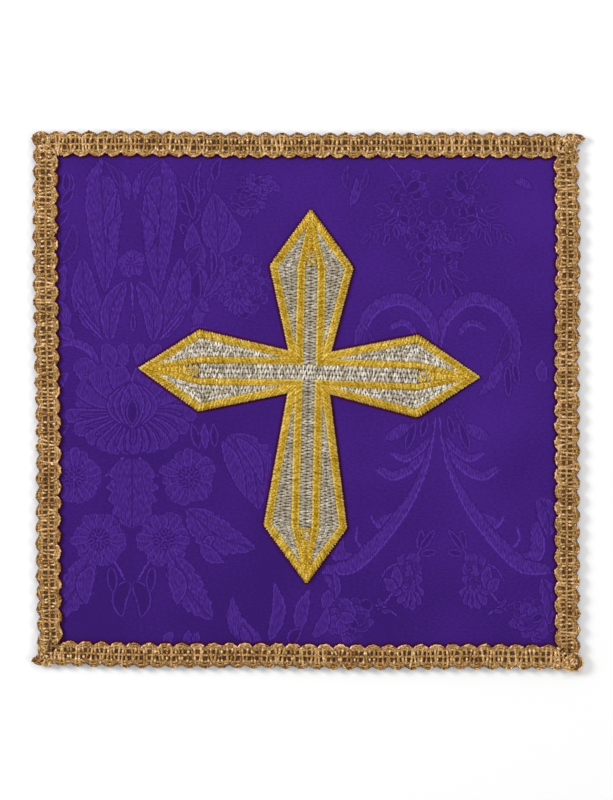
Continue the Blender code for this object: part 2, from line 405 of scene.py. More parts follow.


# Violet silk damask: a matt ground, with glossier figures in longer warp floats, whose catching of the light in streaks
# is painted sheen in their colour.
def damaskMaterial(look):
    material, tree, shader = newMaterial("violetDamask")
    ground, groundDark, figureTone, shadeBeside, seamShadow, gloss, sheen = (
        linearColour(look[name]) for name in ("ground", "groundDark", "figure", "shadeBeside", "seam", "gloss", "sheen")
    )
    setInputs(shader, {
        "Sheen Weight": 0.02, "Sheen Roughness": 0.45, "Specular IOR Level": 0.35, "Specular Tint": gloss,
        "Sheen Tint": sheen,
    })
    smooth = {"interpolation_type": "SMOOTHSTEP"}
    place = addNode(tree, "TexCoord", {}, "Object")
    figure = addNode(tree, "Attribute", {}, "Vector", attribute_name="figure")
    edge, along, across = addNode(tree, "SeparateXYZ", {0: figure}).node.outputs
    kind = addNode(tree, "Attribute", {}, "Vector", attribute_name="figureKind")
    fill, outline, vein = addNode(tree, "SeparateXYZ", {0: kind}).node.outputs
    warp = addNode(tree, "Mapping", {
        "Vector": place, "Rotation": (0, 0, math.radians(look["streakLean"])),
        "Scale": (1000 / look["streakWidth"], 1000 / look["streakLength"], 1),
    })
    streaks = addNode(tree, "TexNoise", {"Vector": warp, "Scale": 1.0, "Detail": 2.0, "Roughness": 0.55})
    streak = addNode(tree, "MapRange", {"Value": streaks, "From Min": 0.36, "From Max": 0.66}, **smooth)
    fray = look["edgeFray"]
    frayed = addNode(tree, "Math", {0: streak, 1: fray, 2: -fray / 2}, operation="MULTIPLY_ADD")
    frayed = addNode(tree, "Math", {0: edge, 1: frayed}, operation="ADD")
    inside = addNode(tree, "MapRange", {"Value": frayed, "From Min": -0.08, "From Max": 0.14}, **smooth)
    pastRim = addNode(tree, "MapRange", {"Value": frayed, "From Min": 0.3, "From Max": 0.6}, **smooth)
    rim = addNode(tree, "Math", {0: inside, 1: pastRim}, operation="SUBTRACT")
    rim = addNode(tree, "Math", {0: rim, 1: outline}, operation="MULTIPLY")
    # A leaf has a dark midrib, and light side veins that leave it at a low angle.
    fromRib = addNode(tree, "Math", {0: across}, operation="ABSOLUTE")
    rib = addNode(
        tree, "MapRange", {"Value": fromRib, "From Min": 0.1, "From Max": 0.34, "To Min": 1.0, "To Max": 0.0}, **smooth,
    )
    rib = addNode(tree, "Math", {0: rib, 1: vein}, operation="MULTIPLY")
    slant = addNode(tree, "Math", {0: along, 1: -0.3, 2: fromRib}, operation="MULTIPLY_ADD")
    wave = addNode(tree, "Math", {0: slant, 1: 2 * math.pi / 1.5}, operation="MULTIPLY")
    wave = addNode(tree, "Math", {0: wave}, operation="SINE")
    sideVeins = addNode(tree, "MapRange", {"Value": wave, "From Min": 0.3, "From Max": 1.0, "To Max": 0.5})
    sideVeins = addNode(tree, "Math", {0: sideVeins, 1: vein}, operation="MULTIPLY")
    # Painted sheen: the figures' fill is lighter in streaks along the floats.
    body = addNode(tree, "Math", {0: streak, 1: 1.15, 2: 0.3}, operation="MULTIPLY_ADD")
    body = addNode(tree, "Math", {0: body, 1: fill}, operation="MULTIPLY")
    body = addNode(tree, "Math", {0: sideVeins, 1: streak, 2: body}, operation="MULTIPLY_ADD")
    kept = addNode(tree, "Math", {0: 1.0, 1: rib}, operation="SUBTRACT")
    for share in (kept, inside):
        body = addNode(tree, "Math", {0: body, 1: share}, operation="MULTIPLY")
    shown = addNode(tree, "Math", {0: body, 1: rim}, operation="ADD", use_clamp=True)
    # The ground: a fine weave, slow changes of depth in the dye, and a painted sheen that grows lighter to the right
    # and up.
    weft = addNode(tree, "Mapping", {"Vector": place, "Scale": (500 / look["weave"], 1000 / look["weave"], 1)})
    weave = addNode(tree, "TexNoise", {"Vector": weft, "Scale": 1.0, "Detail": 1.0})
    clouds = addNode(tree, "TexNoise", {"Vector": place, "Scale": 1000 / look["clouds"], "Detail": 2.0})
    depth = addNode(tree, "Math", {0: weave, 1: 0.9, 2: clouds}, operation="MULTIPLY_ADD")
    # Painted sheen: the ground grows lighter to the right and up.
    rise = addNode(tree, "VectorMath", {0: place, 1: look["sheenSlope"]}, "Value", operation="DOT_PRODUCT")
    depth = addNode(tree, "Math", {0: depth, 1: rise}, operation="ADD")
    depth = addNode(tree, "MapRange", {"Value": depth, "From Min": 0.68, "From Max": 1.38})
    # Painted shade on the ground just beside each figure.
    beside = addNode(tree, "MapRange", {"Value": frayed, "From Min": -0.45, "From Max": -0.1, "To Max": 0.7})
    # Painted shadow: a dark reddish line on the cloth beside the cross and the braid, where the stitches draw it down
    # into a groove.
    seam = addNode(tree, "Attribute", {}, "Fac", attribute_name="seam")
    nearSeamShadow = addNode(tree, "MapRange", {
        "Value": seam, "From Min": look["seamFrom"], "From Max": look["seamTo"], "To Min": 1.0, "To Max": 0.0,
    }, **smooth)
    colour = groundDark
    for share, over in ((depth, ground), (beside, shadeBeside), (shown, figureTone), (nearSeamShadow, seamShadow)):
        colour = addNode(tree, "Mix", {0: share, 6: colour, 7: over}, 2, data_type="RGBA")
    rough = addNode(tree, "MapRange", {"Value": shown, "To Min": 0.62, "To Max": 0.45})
    relief = addNode(tree, "Math", {0: weave, 1: 0.35, 2: shown}, operation="MULTIPLY_ADD")
    bump = addNode(tree, "Bump", {"Height": relief, "Strength": 0.5, "Distance": 0.00004})
    setInputs(shader, {"Base Color": colour, "Roughness": rough, "Normal": bump})
    return material


# The damask's figures. Each is a blade: a line with a width along it, laid over those before it.

figures = []
figureLook = {
    "gap": 0.45,            # ground shown round a figure where it lies on another
    "leaf": (0.42, 0.3, 0.7),      # how strong the fill, the rim and the veins are
    "petal": (0.46, 0.34, 0.0),
    "soft": (0.56, 0.0, 0.0),
    "bud": (0.1, 0.62, 0.0),
    "faint": (0.22, 0.36, 0.0),
    "stem": (0.7, 0.3, 0.0),
    "toothless": 0.28,      # share of a toothed leaf near its base that has no teeth
    "stations": 60,         # places along a figure's line to choose from
}


def profileAt(share, peak, sharpness):
    if not 0 < share < 1:
        return 0.0
    return ((share / peak) ** peak * ((1 - share) / (1 - peak)) ** (1 - peak)) ** sharpness


def addBlade(place, points, width, kind, peak=0.5, sharpness=1.3, teeth=0, steps=12, gap=figureLook["gap"]):
    shares = [(1 - math.cos(math.pi * step / steps)) / 2 for step in range(steps + 1)]
    scale = [1.0] * len(shares)
    if teeth:
        # Teeth point to the tip, and the part near the base has none.
        bare = figureLook["toothless"]
        first = [share for share in shares if share < bare]
        notches = [bare + (1 - bare) * (tooth + k) / teeth for tooth in range(teeth) for k in (0.12, 0.55, 0.9)][:-1]
        shares = first + notches + [1.0]
        scale = [1.0] * len(first) + ([0.8, 1.0, 1.1] * teeth)[:-1] + [1.0]
    count = figureLook["stations"]
    line = smoothLine(points, count)
    axis = [place(line[round(share * count)]) for share in shares]
    halfWidths = [width / 2 * profileAt(s, peak, sharpness) * k for s, k in zip(shares, scale)]
    figures.append({"axis": axis, "halfWidths": halfWidths, "kind": figureLook[kind], "gap": gap})


def bentTo(base, tip, bend):
    base, tip = Vector(base), Vector(tip)
    return base, (base + tip) / 2 + leftOf(tip - base) * bend, tip


def leaf(place, base, tip, width, bend=0.1, kind="leaf", peak=0.42, sharpness=1.7, teeth=0):
    addBlade(place, bentTo(base, tip, bend), width, kind, peak, sharpness, teeth)


def bud(place, base, tip, width):
    leaf(place, base, tip, width, 0, "bud", 0.45, 1.1)


def petals(place, centre, count, start, spread, inner, length, width, kind="petal", peak=0.62, sharpness=0.9):
    for number in range(count):
        share = (number + 0.5) / count if spread < 360 else number / count
        out = unitAt(math.radians(start + spread * share))
        wide = width * dice.uniform(0.92, 1.08)
        long = length * dice.uniform(0.93, 1.05)
        base = Vector(centre) + out * inner
        points = bentTo(base, base + out * long, dice.uniform(-0.05, 0.05))
        addBlade(place, points, wide, kind, peak, sharpness, steps=8)


def stem(place, width, *points):
    addBlade(place, points, width, "stem", 0.3, 0.5, steps=14)


def rosette(place, centre, radius, turn, count=5):
    # Broad petals of two or three lobes, a ring of small ones and an eye.
    for number in range(count):
        angle = math.radians(turn + 360 * number / count)
        for aside, long, wide in ((-0.3, 0.9, 0.5), (0.32, 0.96, 0.5), (0.02, 1.0, 0.34)):
            out = unitAt(angle + aside)
            out *= radius * dice.uniform(0.92, 1.06)
            points = bentTo(Vector(centre) + out * 0.26, Vector(centre) + out * long, 0.04)
            addBlade(place, points, radius * wide, "petal", 0.68, 0.7, steps=8, gap=0.2)
    petals(place, centre, 7, turn + 36, 360, radius * 0.16, radius * 0.24, radius * 0.22, "bud")
    petals(place, centre, 4, turn, 360, radius * 0.02, radius * 0.13, radius * 0.1)


# Draws in a frame that is as wide as it is tall, for a figure that isn't.
def squashed(place, centre, share):
    return lambda point: place(centre + Vector(((point.x - centre.x) * share, point.y - centre.y)))


def rose(place, centre, wide, tall):
    centre = Vector(centre)
    squash = squashed(place, centre, wide / tall)
    # how far up the ring's middle is, then its petals
    for up, count, start, spread, inner, length, width, kind, sharpness in (
        (-0.1, 6, 195, 150, 0.1, 0.42, 0.16, "petal", 1.1), (0.08, 7, 10, 360, 0.12, 0.27, 0.26, "petal", 0.9),
        (0.08, 5, 40, 360, 0.05, 0.2, 0.2, "faint", 0.9), (0.1, 3, 90, 360, 0, 0.13, 0.1, "petal", 0.9),
    ):
        middle = centre + Vector((0, tall * up))
        petals(
            squash, middle, count, start, spread, tall * inner, tall * length, tall * width, kind, sharpness=sharpness,
        )


def bouquet(place, centre, wide, tall, count, size, kinds=("petal", "faint", "petal", "bud")):
    # Rounded petals heaped from the rim inwards.
    for number in range(count):
        away = 1 - number / count
        angle = number * 2.4
        out = Vector((math.cos(angle) * wide, math.sin(angle) * tall))
        middle = Vector(centre) + out * away ** 0.6 * 0.85
        run = Vector((out.x + dice.uniform(-3, 3), out.y + dice.uniform(-3, 3))).normalized()
        long = size * dice.uniform(0.8, 1.2)
        leaf(place, middle - run * long / 2, middle + run * long / 2, long * 0.8, 0.05, dice.choice(kinds), 0.58, 0.8)


def spray(place, base, tip, count, length, hand=1, kind="bud"):
    # Leaflets on a thin stem.
    points = bentTo(base, tip, 0.12 * hand)
    line = smoothLine(points, 20)
    stem(place, 0.55, *points)
    run = (line[-1] - line[0]).normalized()
    for number in range(count):
        here = line[int(20 * (number + 1) / count)]
        angle = math.radians(hand * (35 if number % 2 else -35) if number < count - 1 else 0)
        turn = unitAt(angle)
        out = Vector((run.x * turn.x - run.y * turn.y, run.x * turn.y + run.y * turn.x))
        leaf(place, here, here + out * length, length * 0.46, 0, kind, 0.45, 1.0)


def scroll(place, width, peak, sharpness, *points):
    # A curled band: a bright rib with a feathery web on its outer side.
    steps = 30
    line = smoothLine(points, steps)
    axis, halfWidths = [], []
    for step, here in enumerate(line):
        half = width / 2 * profileAt(step / steps, peak, sharpness)
        axis.append(place(here + leftOf(runAt(line, step)) * half))
        halfWidths.append(half * dice.uniform(0.82, 1.15))
    figures.append({"axis": axis, "halfWidths": halfWidths, "kind": figureLook["soft"], "gap": figureLook["gap"]})
    addBlade(place, points, min(width * 0.4, 0.8), "stem", 0.5, 0.3, steps=24, gap=0.08)


def bloom(place, centre, wide, tall):
    centre = Vector(centre)
    squash = squashed(place, centre, wide / tall)
    fan = ((166, 0.5), (184, 0.55), (201, 0.53), (217, 0.5), (232, 0.47), (246, 0.44), (259, 0.42), (270, 0.41))
    for angle, reach in fan:
        for side in (angle, 540 - angle):
            out = unitAt(math.radians(side)) * tall
            reach *= dice.uniform(0.95, 1.04)
            leaf(squash, centre + out * 0.08, centre + out * reach, tall * 0.15, 0.05, "petal", 0.72, 0.75)
            leaf(squash, centre + out * 0.1, centre + out * reach * 0.8, tall * 0.05, 0.05, "faint", 0.6)
    for angle, reach, width in ((148, 0.52, 0.24), (126, 0.52, 0.24), (106, 0.45, 0.2)):
        for side in (angle, 180 - angle):
            out = unitAt(math.radians(side)) * tall
            leaf(squash, centre + out * 0.12, centre + out * reach, tall * width, 0.04, "petal", 0.7, 0.7)
    low, high = centre - Vector((0, tall * 0.16)), centre + Vector((0, tall * 0.28))
    for spread, width in ((0.36, 0.13), (0.24, 0.12), (0.12, 0.11)):
        for hand in (1, -1):
            leaf(squash, low, high, tall * width, spread * hand, "petal", 0.5, 0.9)
    leaf(squash, low + Vector((0, tall * 0.03)), high - Vector((0, tall * 0.14)), tall * 0.12, 0, "bud", 0.45)


# Each group starts with what draws its rows. A leaf has base, tip, width, bend, kind, peak, sharpness and teeth.
def drawGroups(place, *groups):
    for draw, *rows in groups:
        for row in rows:
            draw(place, *row)


def drawDamask():
    for hand in (1, -1):
        # Left column: a great bloom under a crown of leaves, rosettes and a hanging leaf. x runs out from its axis.
        drawGroups(
            lambda point: Vector((-56.2 + hand * point[0], point[1])),
            (leaf, ((14.5, 70), (9.5, 78), 3.4, 0.1, "soft"), ((8.5, 34), (10, 72), 11.2, 0.02, "leaf", 0.72, 1.15),
             ((6.3, 49), (4.8, 67), 3.2, -0.1, "petal"), ((5, 47.5), (2.6, 61), 3.6, -0.14, "soft"),
             ((8.6, 19.4), (15.8, 45.8), 9, -0.09, "leaf", 0.45, 1.4), ((9.5, 21), (17.8, 32), 3, -0.1, "petal")),
            (stem, (0.7, (9, 19.5), (13, 23.5), (17, 29))),
            (leaf, ((7, 19), (2, 38.2), 6.4, -0.11, "leaf", 0.5, 1.3), ((3, 11), (2.6, 18.4), 4.4, 0, "petal", 0.5, 1),
             ((7.4, 9.6), (8.6, 18.2), 5.4, 0.1, "petal", 0.52, 1)),
            (scroll, (2.4, 0.55, 0.8, (11, 10), (14, 15.5), (19.5, 17.8), (25, 16.5))),
            (leaf, ((12, 4), (17.5, 12.8), 7, 0.1, "petal", 0.6, 0.8)),
            (stem, (1, (2.4, -18.2), (5, -20.8), (8.6, -24.5))),
            (rosette, ((18.4, -24.6), 9.3, 90), ((10.4, -44.4), 8.9, 54, 6)),
            (leaf, ((13.5, -50.5), (25.8, -70.2), 10.6, -0.06, "leaf", 0.42, 1.2, 5),
             ((12.5, -53), (14.5, -65.5), 5.6, 0.12, "petal", 0.45)),
            (stem, (0.7, (5.6, -51.5), (3.2, -55.5), (1, -60.5))),
            (leaf, ((0.9, -58), (3.2, -69.4), 5.2, 0.16, "bud", 0.42, 1.1)),
            (bud, ((6.6, -53.5), (5.8, -61.5), 3.4)),
            (leaf, ((20.6, 66), (19.6, 73), 2.6, 0.1, "bud")),
            (spray, ((21.5, 45), (21, 67), 6, 6.2, hand)),
            (leaf, ((22.6, 44), (18.6, 57), 4.8, 0.1, "faint"), ((23.5, 30), (21, 44), 5.4, -0.08, "soft"),
             ((20.6, 23), (24.6, 33), 4.6, 0.08, "soft"), ((19, 19.5), (24, 23.5), 4.2, 0.08, "petal")),
        )
        # Right column: a heaped bouquet, curled arches, twin stems with curled branches and two hanging roses.
        kinds = ("faint", "faint", "bud", "petal")
        drawGroups(
            lambda point: Vector((41.8 + hand * point[0], point[1])),
            (bouquet, ((8.6, 67.5), 6.2, 7, 15, 4.6, kinds), ((9, 57), 4.6, 6.5, 10, 3.9, kinds),
             ((4.6, 49.5), 4.6, 7.5, 14, 3.7, kinds)),
            (stem, (0.5, (16.5, 77), (12.5, 72), (9.5, 66))),
            (spray, ((13.8, 62), (21.5, 53.5), 5, 4.6, -1, "faint"), ((12.6, 61), (15.5, 53.5), 3, 4.4, -1)),
            (leaf, ((15, 60.5), (20.5, 62.5), 2.6, 0.1, "faint")),
            (bud, ((1.6, 39.6), (2.2, 33.2), 2.6), ((5, 37.5), (8.6, 29.8), 2.8)),
            (leaf, ((4, 41), (10, 38), 3, 0.1, "faint")),
            (stem, (0.5, (2, 43), (3.2, 40), (5.2, 37))),
            (scroll, (3.8, 0.6, 0.8, (1, 17), (3.2, 24.5), (10.5, 30.6), (19.5, 28), (25.2, 18)),
             (1.7, 0.55, 0.8, (7, 20.5), (10.5, 24.2), (15.5, 22.6))),
            (leaf, ((24.6, 25), (25.6, 10), 5.6, -0.08, "petal"), ((22.6, 22.5), (18, 10.5), 4, 0.1, "faint"),
             ((20.6, 13), (12.6, 1), 3.6, 0.1, "soft")),
            (bud, ((22.4, 11), (22.8, 0.8), 2.6), ((24.6, 12), (25.8, 5), 2.4)),
            (leaf, ((3.6, -5), (5, -11.6), 2.4, 0, "bud", 0.5, 1), ((7.2, -7), (10, -15.8), 2.8, 0, "bud", 0.5, 1),
             ((9, -8), (16.5, -12.5), 3.8, 0, "soft", 0.5, 1), ((6, -2), (8, -7), 2.2, 0, "faint", 0.5, 1)),
            (scroll, (2.1, 0.55, 0.8, (1.6, -11.5), (5.5, -16.8), (10.5, -19.4), (15, -17)),
             (2.7, 0.55, 0.8, (2.6, -16.5), (8, -22.6), (14.5, -25.4), (20, -22)),
             (4.4, 0.6, 0.8, (9, -34.5), (14, -39.9), (18.8, -40.8), (21.4, -37)),
             (6, 0.62, 0.8, (17, -44), (22.5, -47.6), (26, -45), (25.6, -40.4)),
             (4.4, 0.55, 0.8, (24.5, -51), (31.5, -52), (34.2, -46.5), (32, -39)),
             (4.4, 0.74, 1.7, (0.6, -5), (2.6, -19), (8.6, -34), (18, -47), (27, -55), (37, -55.2))),
        )
        drawGroups(
            lambda point: Vector((43.2 + hand * point[0], point[1])),
            (bud, ((7.2, -47.8), (6.4, -41.4), 2.6), ((7, -48), (2.2, -41.4), 2.4), ((6.6, -49.2), (1.8, -48.4), 2.6)),
            (stem, (0.6, (8.6, -51.5), (7.8, -49.5), (7, -47.8))),
            (rose, ((10.6, -56.6), 10.5, 17)),
            (leaf, ((15.5, -61), (15, -52.5), 3.8, 0.1, "petal"), ((15.6, -61.5), (18.4, -57), 3.6, 0.1, "petal")),
            (stem, (0.5, (14, -52), (17.5, -54), (20, -58)), (0.7, (15.6, -61.5), (18, -64.5), (21, -67.5))),
            (spray, ((14.5, -69), (22, -65.5), 3, 3, 1, "faint")),
            (bouquet, ((29.5, -70), 7.6, 7, 22, 4.8)),
            (leaf, ((34.6, -60.5), (37.5, -67.5), 4.2, 0.08, "petal")),
        )
    # Pieces that stand on an axis or fill the spaces between the columns.
    drawGroups(
        Vector,
        (rosette, ((-56.2, 44), 4.6, 90)),
        (stem, (0.7, (-56.2, 38.5), (-55.9, 33), (-55.6, 28))),
        (bud, ((-55.7, 22), (-55.7, 28), 1.9)),
        (leaf, *(
            row for hand in (1, -1) for row in (
                ((-56.2 + hand * 0.9, 64), (-56.2 + hand * 5.5, 75.5), 2.6, 0.1 * hand, "soft"),
                ((-56.2 + hand * 3.6, 68), (-56.2 + hand * 9, 77), 2.4, 0.1 * hand, "faint"),
            )
        )),
        (bloom, ((-56, -3.5), 38.5, 33)),
        (leaf, ((-56, -18.6), (-56, -41), 16, 0, "leaf", 0.42, 0.85, 4),
         ((41.8, 58.5), (41.8, 64.5), 6.4, 0, "faint", 0.5, 0.9)),
        (rose, ((41.8, 54), 8.4, 9)),
        (bouquet, ((-16, 68), 7.2, 5, 24, 3), ((-19.5, 62.5), 5.6, 4.2, 10, 3.6), ((-21, 37), 9.8, 10.5, 44, 4.4)),
        (rose, ((-22, 34.5), 10, 12)),
        (leaf, ((-28.4, 46.8), (-29.8, 66.8), 10.6, -0.02), ((-27.6, 47.5), (-24.6, 60), 4.8, -0.22, "petal"),
         ((-27.6, 47), (-33.4, 32.5), 5), ((-30.5, 49), (-31, 38), 2.2, 0.1, "bud"),
         ((-33, 43), (-36.6, 57), 6, 0.12, "petal"), ((-38.5, 44), (-34, 50), 3.4, 0, "faint"),
         ((-35, 32), (-34.5, 42), 4, 0.1, "bud"), ((-38.5, 31), (-37.5, 43), 4.4, 0.1, "soft"),
         ((-31.5, 28.5), (-34, 33), 3, 0.1, "soft"), ((-34.5, 63), (-33.8, 77), 2, 0.1, "bud"),
         ((-36.5, 58), (-40.5, 70), 3.2, -0.1, "bud"), ((-31.5, 66.5), (-27, 73.5), 2, 0.2, "faint"),
         ((-29.5, 70), (-27.5, 78), 3, 0.1, "bud"), ((-25, -11), (-15.5, -35), 15, 0.12, "leaf", 0.42, 1.7, 7),
         ((-27, -13), (-19.5, -31.5), 4.6, 0.02, "petal"), ((-22.5, -12), (-14, -27), 4, 0.1, "petal"),
         ((-34.5, -15.5), (-37, -7), 3, 0, "bud"), ((-32.5, -15.5), (-33, -7), 2.8, 0, "petal"),
         ((-29.5, -15), (-30, -7), 2.8, 0, "bud"), ((-38.4, -35), (-16, -47.6), 11.6, -0.1, "leaf", 0.42, 1.7, 7),
         ((-33, -47), (-29.5, -43.5), 2.8, 0.1, "petal"), ((-34, -46), (-26.5, -52), 4.4, -0.1, "petal"),
         ((-14.5, -77), (-24, -62.8), 6.2, 0.22, "soft"), ((-12, -77), (-10.5, -58), 4.6, -0.12, "petal"),
         ((-18, -78), (-20.5, -72), 3.2, 0.1, "soft"), ((-45, -78), (-43, -74), 3.4, 0.1, "petal"),
         ((-38.5, -78), (-38, -73.6), 3, 0, "petal"), ((-36, -78), (-35, -74), 2.6, 0, "petal"),
         ((-2.6, -74), (0.6, -60.5), 4.6, 0.05, "petal"), ((-5.5, -78), (-1.5, -73), 4, 0.1, "bud"),
         ((2, -76), (6.5, -66), 4, -0.1, "petal"), ((5.5, -56), (8.5, -61.5), 2.6, 0.1, "soft"),
         ((8.6, -55), (9.2, -64), 2.2, 0.1, "petal"), ((14, 62.5), (15.8, 71.5), 3, -0.1, "petal"),
         ((12.5, 68), (13.5, 76), 2.2, 0.1, "faint"), ((17, 67), (19, 75), 2.4, -0.1, "faint"),
         ((66, 70.5), (72.5, 67.5), 2.6, 0.1, "soft"), ((76, 6), (75.5, 13), 4, 0.1, "petal"),
         ((74.5, -31), (77.5, -44), 7, 0.1, "leaf", 0.42, 1.7, 3),
         ((75.5, -57), (77.5, -72), 6, 0.1, "leaf", 0.42, 1.7, 3),
         ((-80.5, 3), (-76.5, 9), 3.8, 0.1, "petal"), ((-80.5, -12), (-76, -8), 3, 0.1, "bud")),
    )


# Cloth

clothDetails = {
    "top": 1.5,
    "rim": 0.4,             # rounding of its turned edge
    "hemWidth": 9.0,
    "hemStep": 0.3,         # the turned hem stands this much lower on the underside
    "grid": 2.1,
    "wave": 0.1,
    "waveSize": 26.0,
    "groove": 0.22,         # where stitches draw it down along the cross and the braid
    "grooveWidth": 1.3,
    "braidFoot": 7.6,       # from the scallop tips to the braid's cloth edge
}


def distancesTo(points, outline):
    starts = np.array(outline, float)
    runs = np.roll(starts, -1, axis=0) - starts
    nearest = np.full(len(points), 1e9)
    for start, run in zip(starts, runs):
        share = np.clip(((points - start) @ run) / (run @ run), 0, 1)
        gap = np.linalg.norm(points - start - share[:, None] * run, axis=1)
        nearest = np.minimum(nearest, gap)
    return nearest


def alongFigure(figure, points):
    axis = np.array([tuple(point) for point in figure["axis"]], float)
    widths = np.array(figure["halfWidths"], float)
    lengths = np.linalg.norm(np.diff(axis, axis=0), axis=1)
    runs = np.concatenate([[0.0], np.cumsum(lengths)])
    best = np.full(len(points), 1e9)
    values = np.zeros((len(points), 3))
    for i, length in enumerate(lengths):
        if length < 1e-6:
            continue
        run = (axis[i + 1] - axis[i]) / length
        offset = points - axis[i]
        raw = np.clip(offset @ run, 0, length)
        away = offset - raw[:, None] * run
        gap = np.linalg.norm(away, axis=1)
        aside = run[0] * offset[:, 1] - run[1] * offset[:, 0]
        half = widths[i] + (widths[i + 1] - widths[i]) * raw / length
        nearer = gap < best
        best = np.where(nearer, gap, best)
        found = np.stack([half - gap, runs[i] + raw, np.copysign(gap, aside)], axis=1)
        values[nearer] = found[nearer]
    return values


def clothPoints():
    outline = clothOutline(veilPlan["clothInset"])
    rim = clothOutline(veilPlan["clothInset"] + clothDetails["rim"])
    points, edges, faces = [], [], []
    faces.append(list(range(len(outline)))[::-1])        # anticlockwise, as the triangulation wants
    points += outline
    for loop in (rim, crossOutline(-0.75), crossOutline(-1.35), *(braidRim(beyond) for beyond in (0.25, 0.9))):
        edges += [(len(points) + i, len(points) + (i + 1) % len(loop)) for i in range(len(loop))]
        points += loop
    for figure in figures:
        left, right, axis = [], [], figure["axis"]
        for i, point in enumerate(axis):
            aside = leftOf(runAt(axis, i)) * (figure["halfWidths"][i] + figure["gap"])
            left.append(point + aside)
            right.append(point - aside)
        ring = right + left[::-1]
        first = len(points)
        points += ring + axis
        loop = list(range(first, first + len(ring)))
        area = sum(ring[i - 1].cross(ring[i]) for i in range(len(ring)))
        faces.append(loop if area > 0 else loop[::-1])
        start = first + len(ring)
        edges += [(start + i, start + i + 1) for i in range(len(axis) - 1)]
    inside = clothOutline(veilPlan["clothInset"] + clothDetails["rim"] + 0.6)
    low = [min(point[axis] for point in inside) for axis in (0, 1)]
    high = [max(point[axis] for point in inside) for axis in (0, 1)]
    step = clothDetails["grid"]
    sides = [sideAxes(index) for index in range(4)]
    for row in range(int((high[1] - low[1]) / step) + 1):
        for column in range(int((high[0] - low[0]) / step) + 1):
            point = Vector((low[0] + step * (column + row % 2 / 2), low[1] + step * row))
            if all((point - start).dot(inner) > veilPlan["clothInset"] + 1.4 for start, _, _, inner in sides):
                points.append(point)
    return points, edges, faces


# Each triangle goes to the last drawn figure that really covers its middle, or to the ground as number 0.
def topmostFigures(triangles, flat):
    middles = flat[[face for face, _ in triangles]].mean(axis=1)
    claims = {}
    for number, (_, origin) in enumerate(triangles):
        for owner in origin:
            claims.setdefault(owner, []).append(number)
    owners = np.zeros(len(triangles), int)
    for owner in sorted(set(claims) - {0}):
        figure, claimed = figures[owner - 1], np.array(claims[owner])
        covered = alongFigure(figure, middles[claimed])[:, 0] > -figure["gap"] - 0.05
        owners[claimed[covered]] = owner
    return {owner: np.flatnonzero(owners == owner) for owner in sorted(set(owners.tolist()))}


def makeCloth(material):
    points, edges, faces = clothPoints()
    found = geometry.delaunay_2d_cdt(points, edges, faces, 1, 0.004)
    flat = np.array([tuple(point) for point in found[0]], float)
    triangles = [(face, origin) for face, origin in zip(found[2], found[5]) if 0 in origin]
    toCross = distancesTo(flat, crossOutline())
    toBraid = distancesTo(flat, clothOutline(clothDetails["braidFoot"]))
    toEdge = distancesTo(flat, clothOutline(veilPlan["clothInset"]))
    toSeam = np.minimum(distancesTo(flat, crossOutline()), distancesTo(flat, braidRim(-0.45)))
    wide = clothDetails["grooveWidth"]
    drop = clothDetails["groove"] * (np.exp(-(toCross / wide) ** 2) + np.exp(-(toBraid / wide) ** 2))
    heights = clothDetails["top"] - drop
    size = clothDetails["waveSize"]
    for i, (x, y) in enumerate(flat):
        calm = min(toEdge[i] / 10, 1.0)
        heights[i] += clothDetails["wave"] * calm * noise.noise(Vector((x / size, y / size, 3.1)))
        if toEdge[i] < 1e-3:
            heights[i] = clothDetails["top"] - clothDetails["rim"]
    heights = np.minimum(heights, clothDetails["top"] + 0.08)
    shape = bmesh.new()
    seamLayer = shape.verts.layers.float.new("seam")
    figureLayer = shape.loops.layers.float_vector.new("figure")
    kindLayer = shape.loops.layers.float_vector.new("figureKind")
    corners = [shape.verts.new((x, y, z)) for (x, y), z in zip(flat, heights)]
    for vertex, gap in zip(corners, toSeam):
        vertex[seamLayer] = gap
    for owner, numbers in topmostFigures(triangles, flat).items():
        if owner:
            wanted = sorted({corner for number in numbers for corner in triangles[number][0]})
            values = dict(zip(wanted, alongFigure(figures[owner - 1], flat[wanted])))
        for number in numbers:
            indices = triangles[number][0]
            face = shape.faces.new([corners[i] for i in indices])
            for loop, i in zip(face.loops, indices):
                loop[figureLayer] = tuple(values[i]) if owner else (-1, 0, 0)
                loop[kindLayer] = figures[owner - 1]["kind"] if owner else (0, 0, 0)
    bmesh.ops.delete(shape, geom=[vertex for vertex in shape.verts if not vertex.link_faces], context="VERTS")
    upper = shape.faces[:]
    raised = bmesh.ops.extrude_face_region(shape, geom=upper, use_keep_orig=True)["geom"]
    lower = [item for item in raised if isinstance(item, bmesh.types.BMVert)]
    lowerFaces = [item for item in raised if isinstance(item, bmesh.types.BMFace)]
    hem = distancesTo(np.array([tuple(vertex.co.to_2d()) for vertex in lower]), clothOutline(veilPlan["clothInset"]))
    for vertex, gap in zip(lower, hem):
        vertex.co.z = 0.0 if gap < clothDetails["hemWidth"] else clothDetails["hemStep"]
    for face in lowerFaces:
        for loop in face.loops:
            loop[figureLayer] = (-1, 0, 0)
    bmesh.ops.recalc_face_normals(shape, faces=shape.faces[:])
    moveToFrame(shape)
    return finishPiece("damaskCloth", shape, [material], "damask_panel", 50)


# Gimp braid

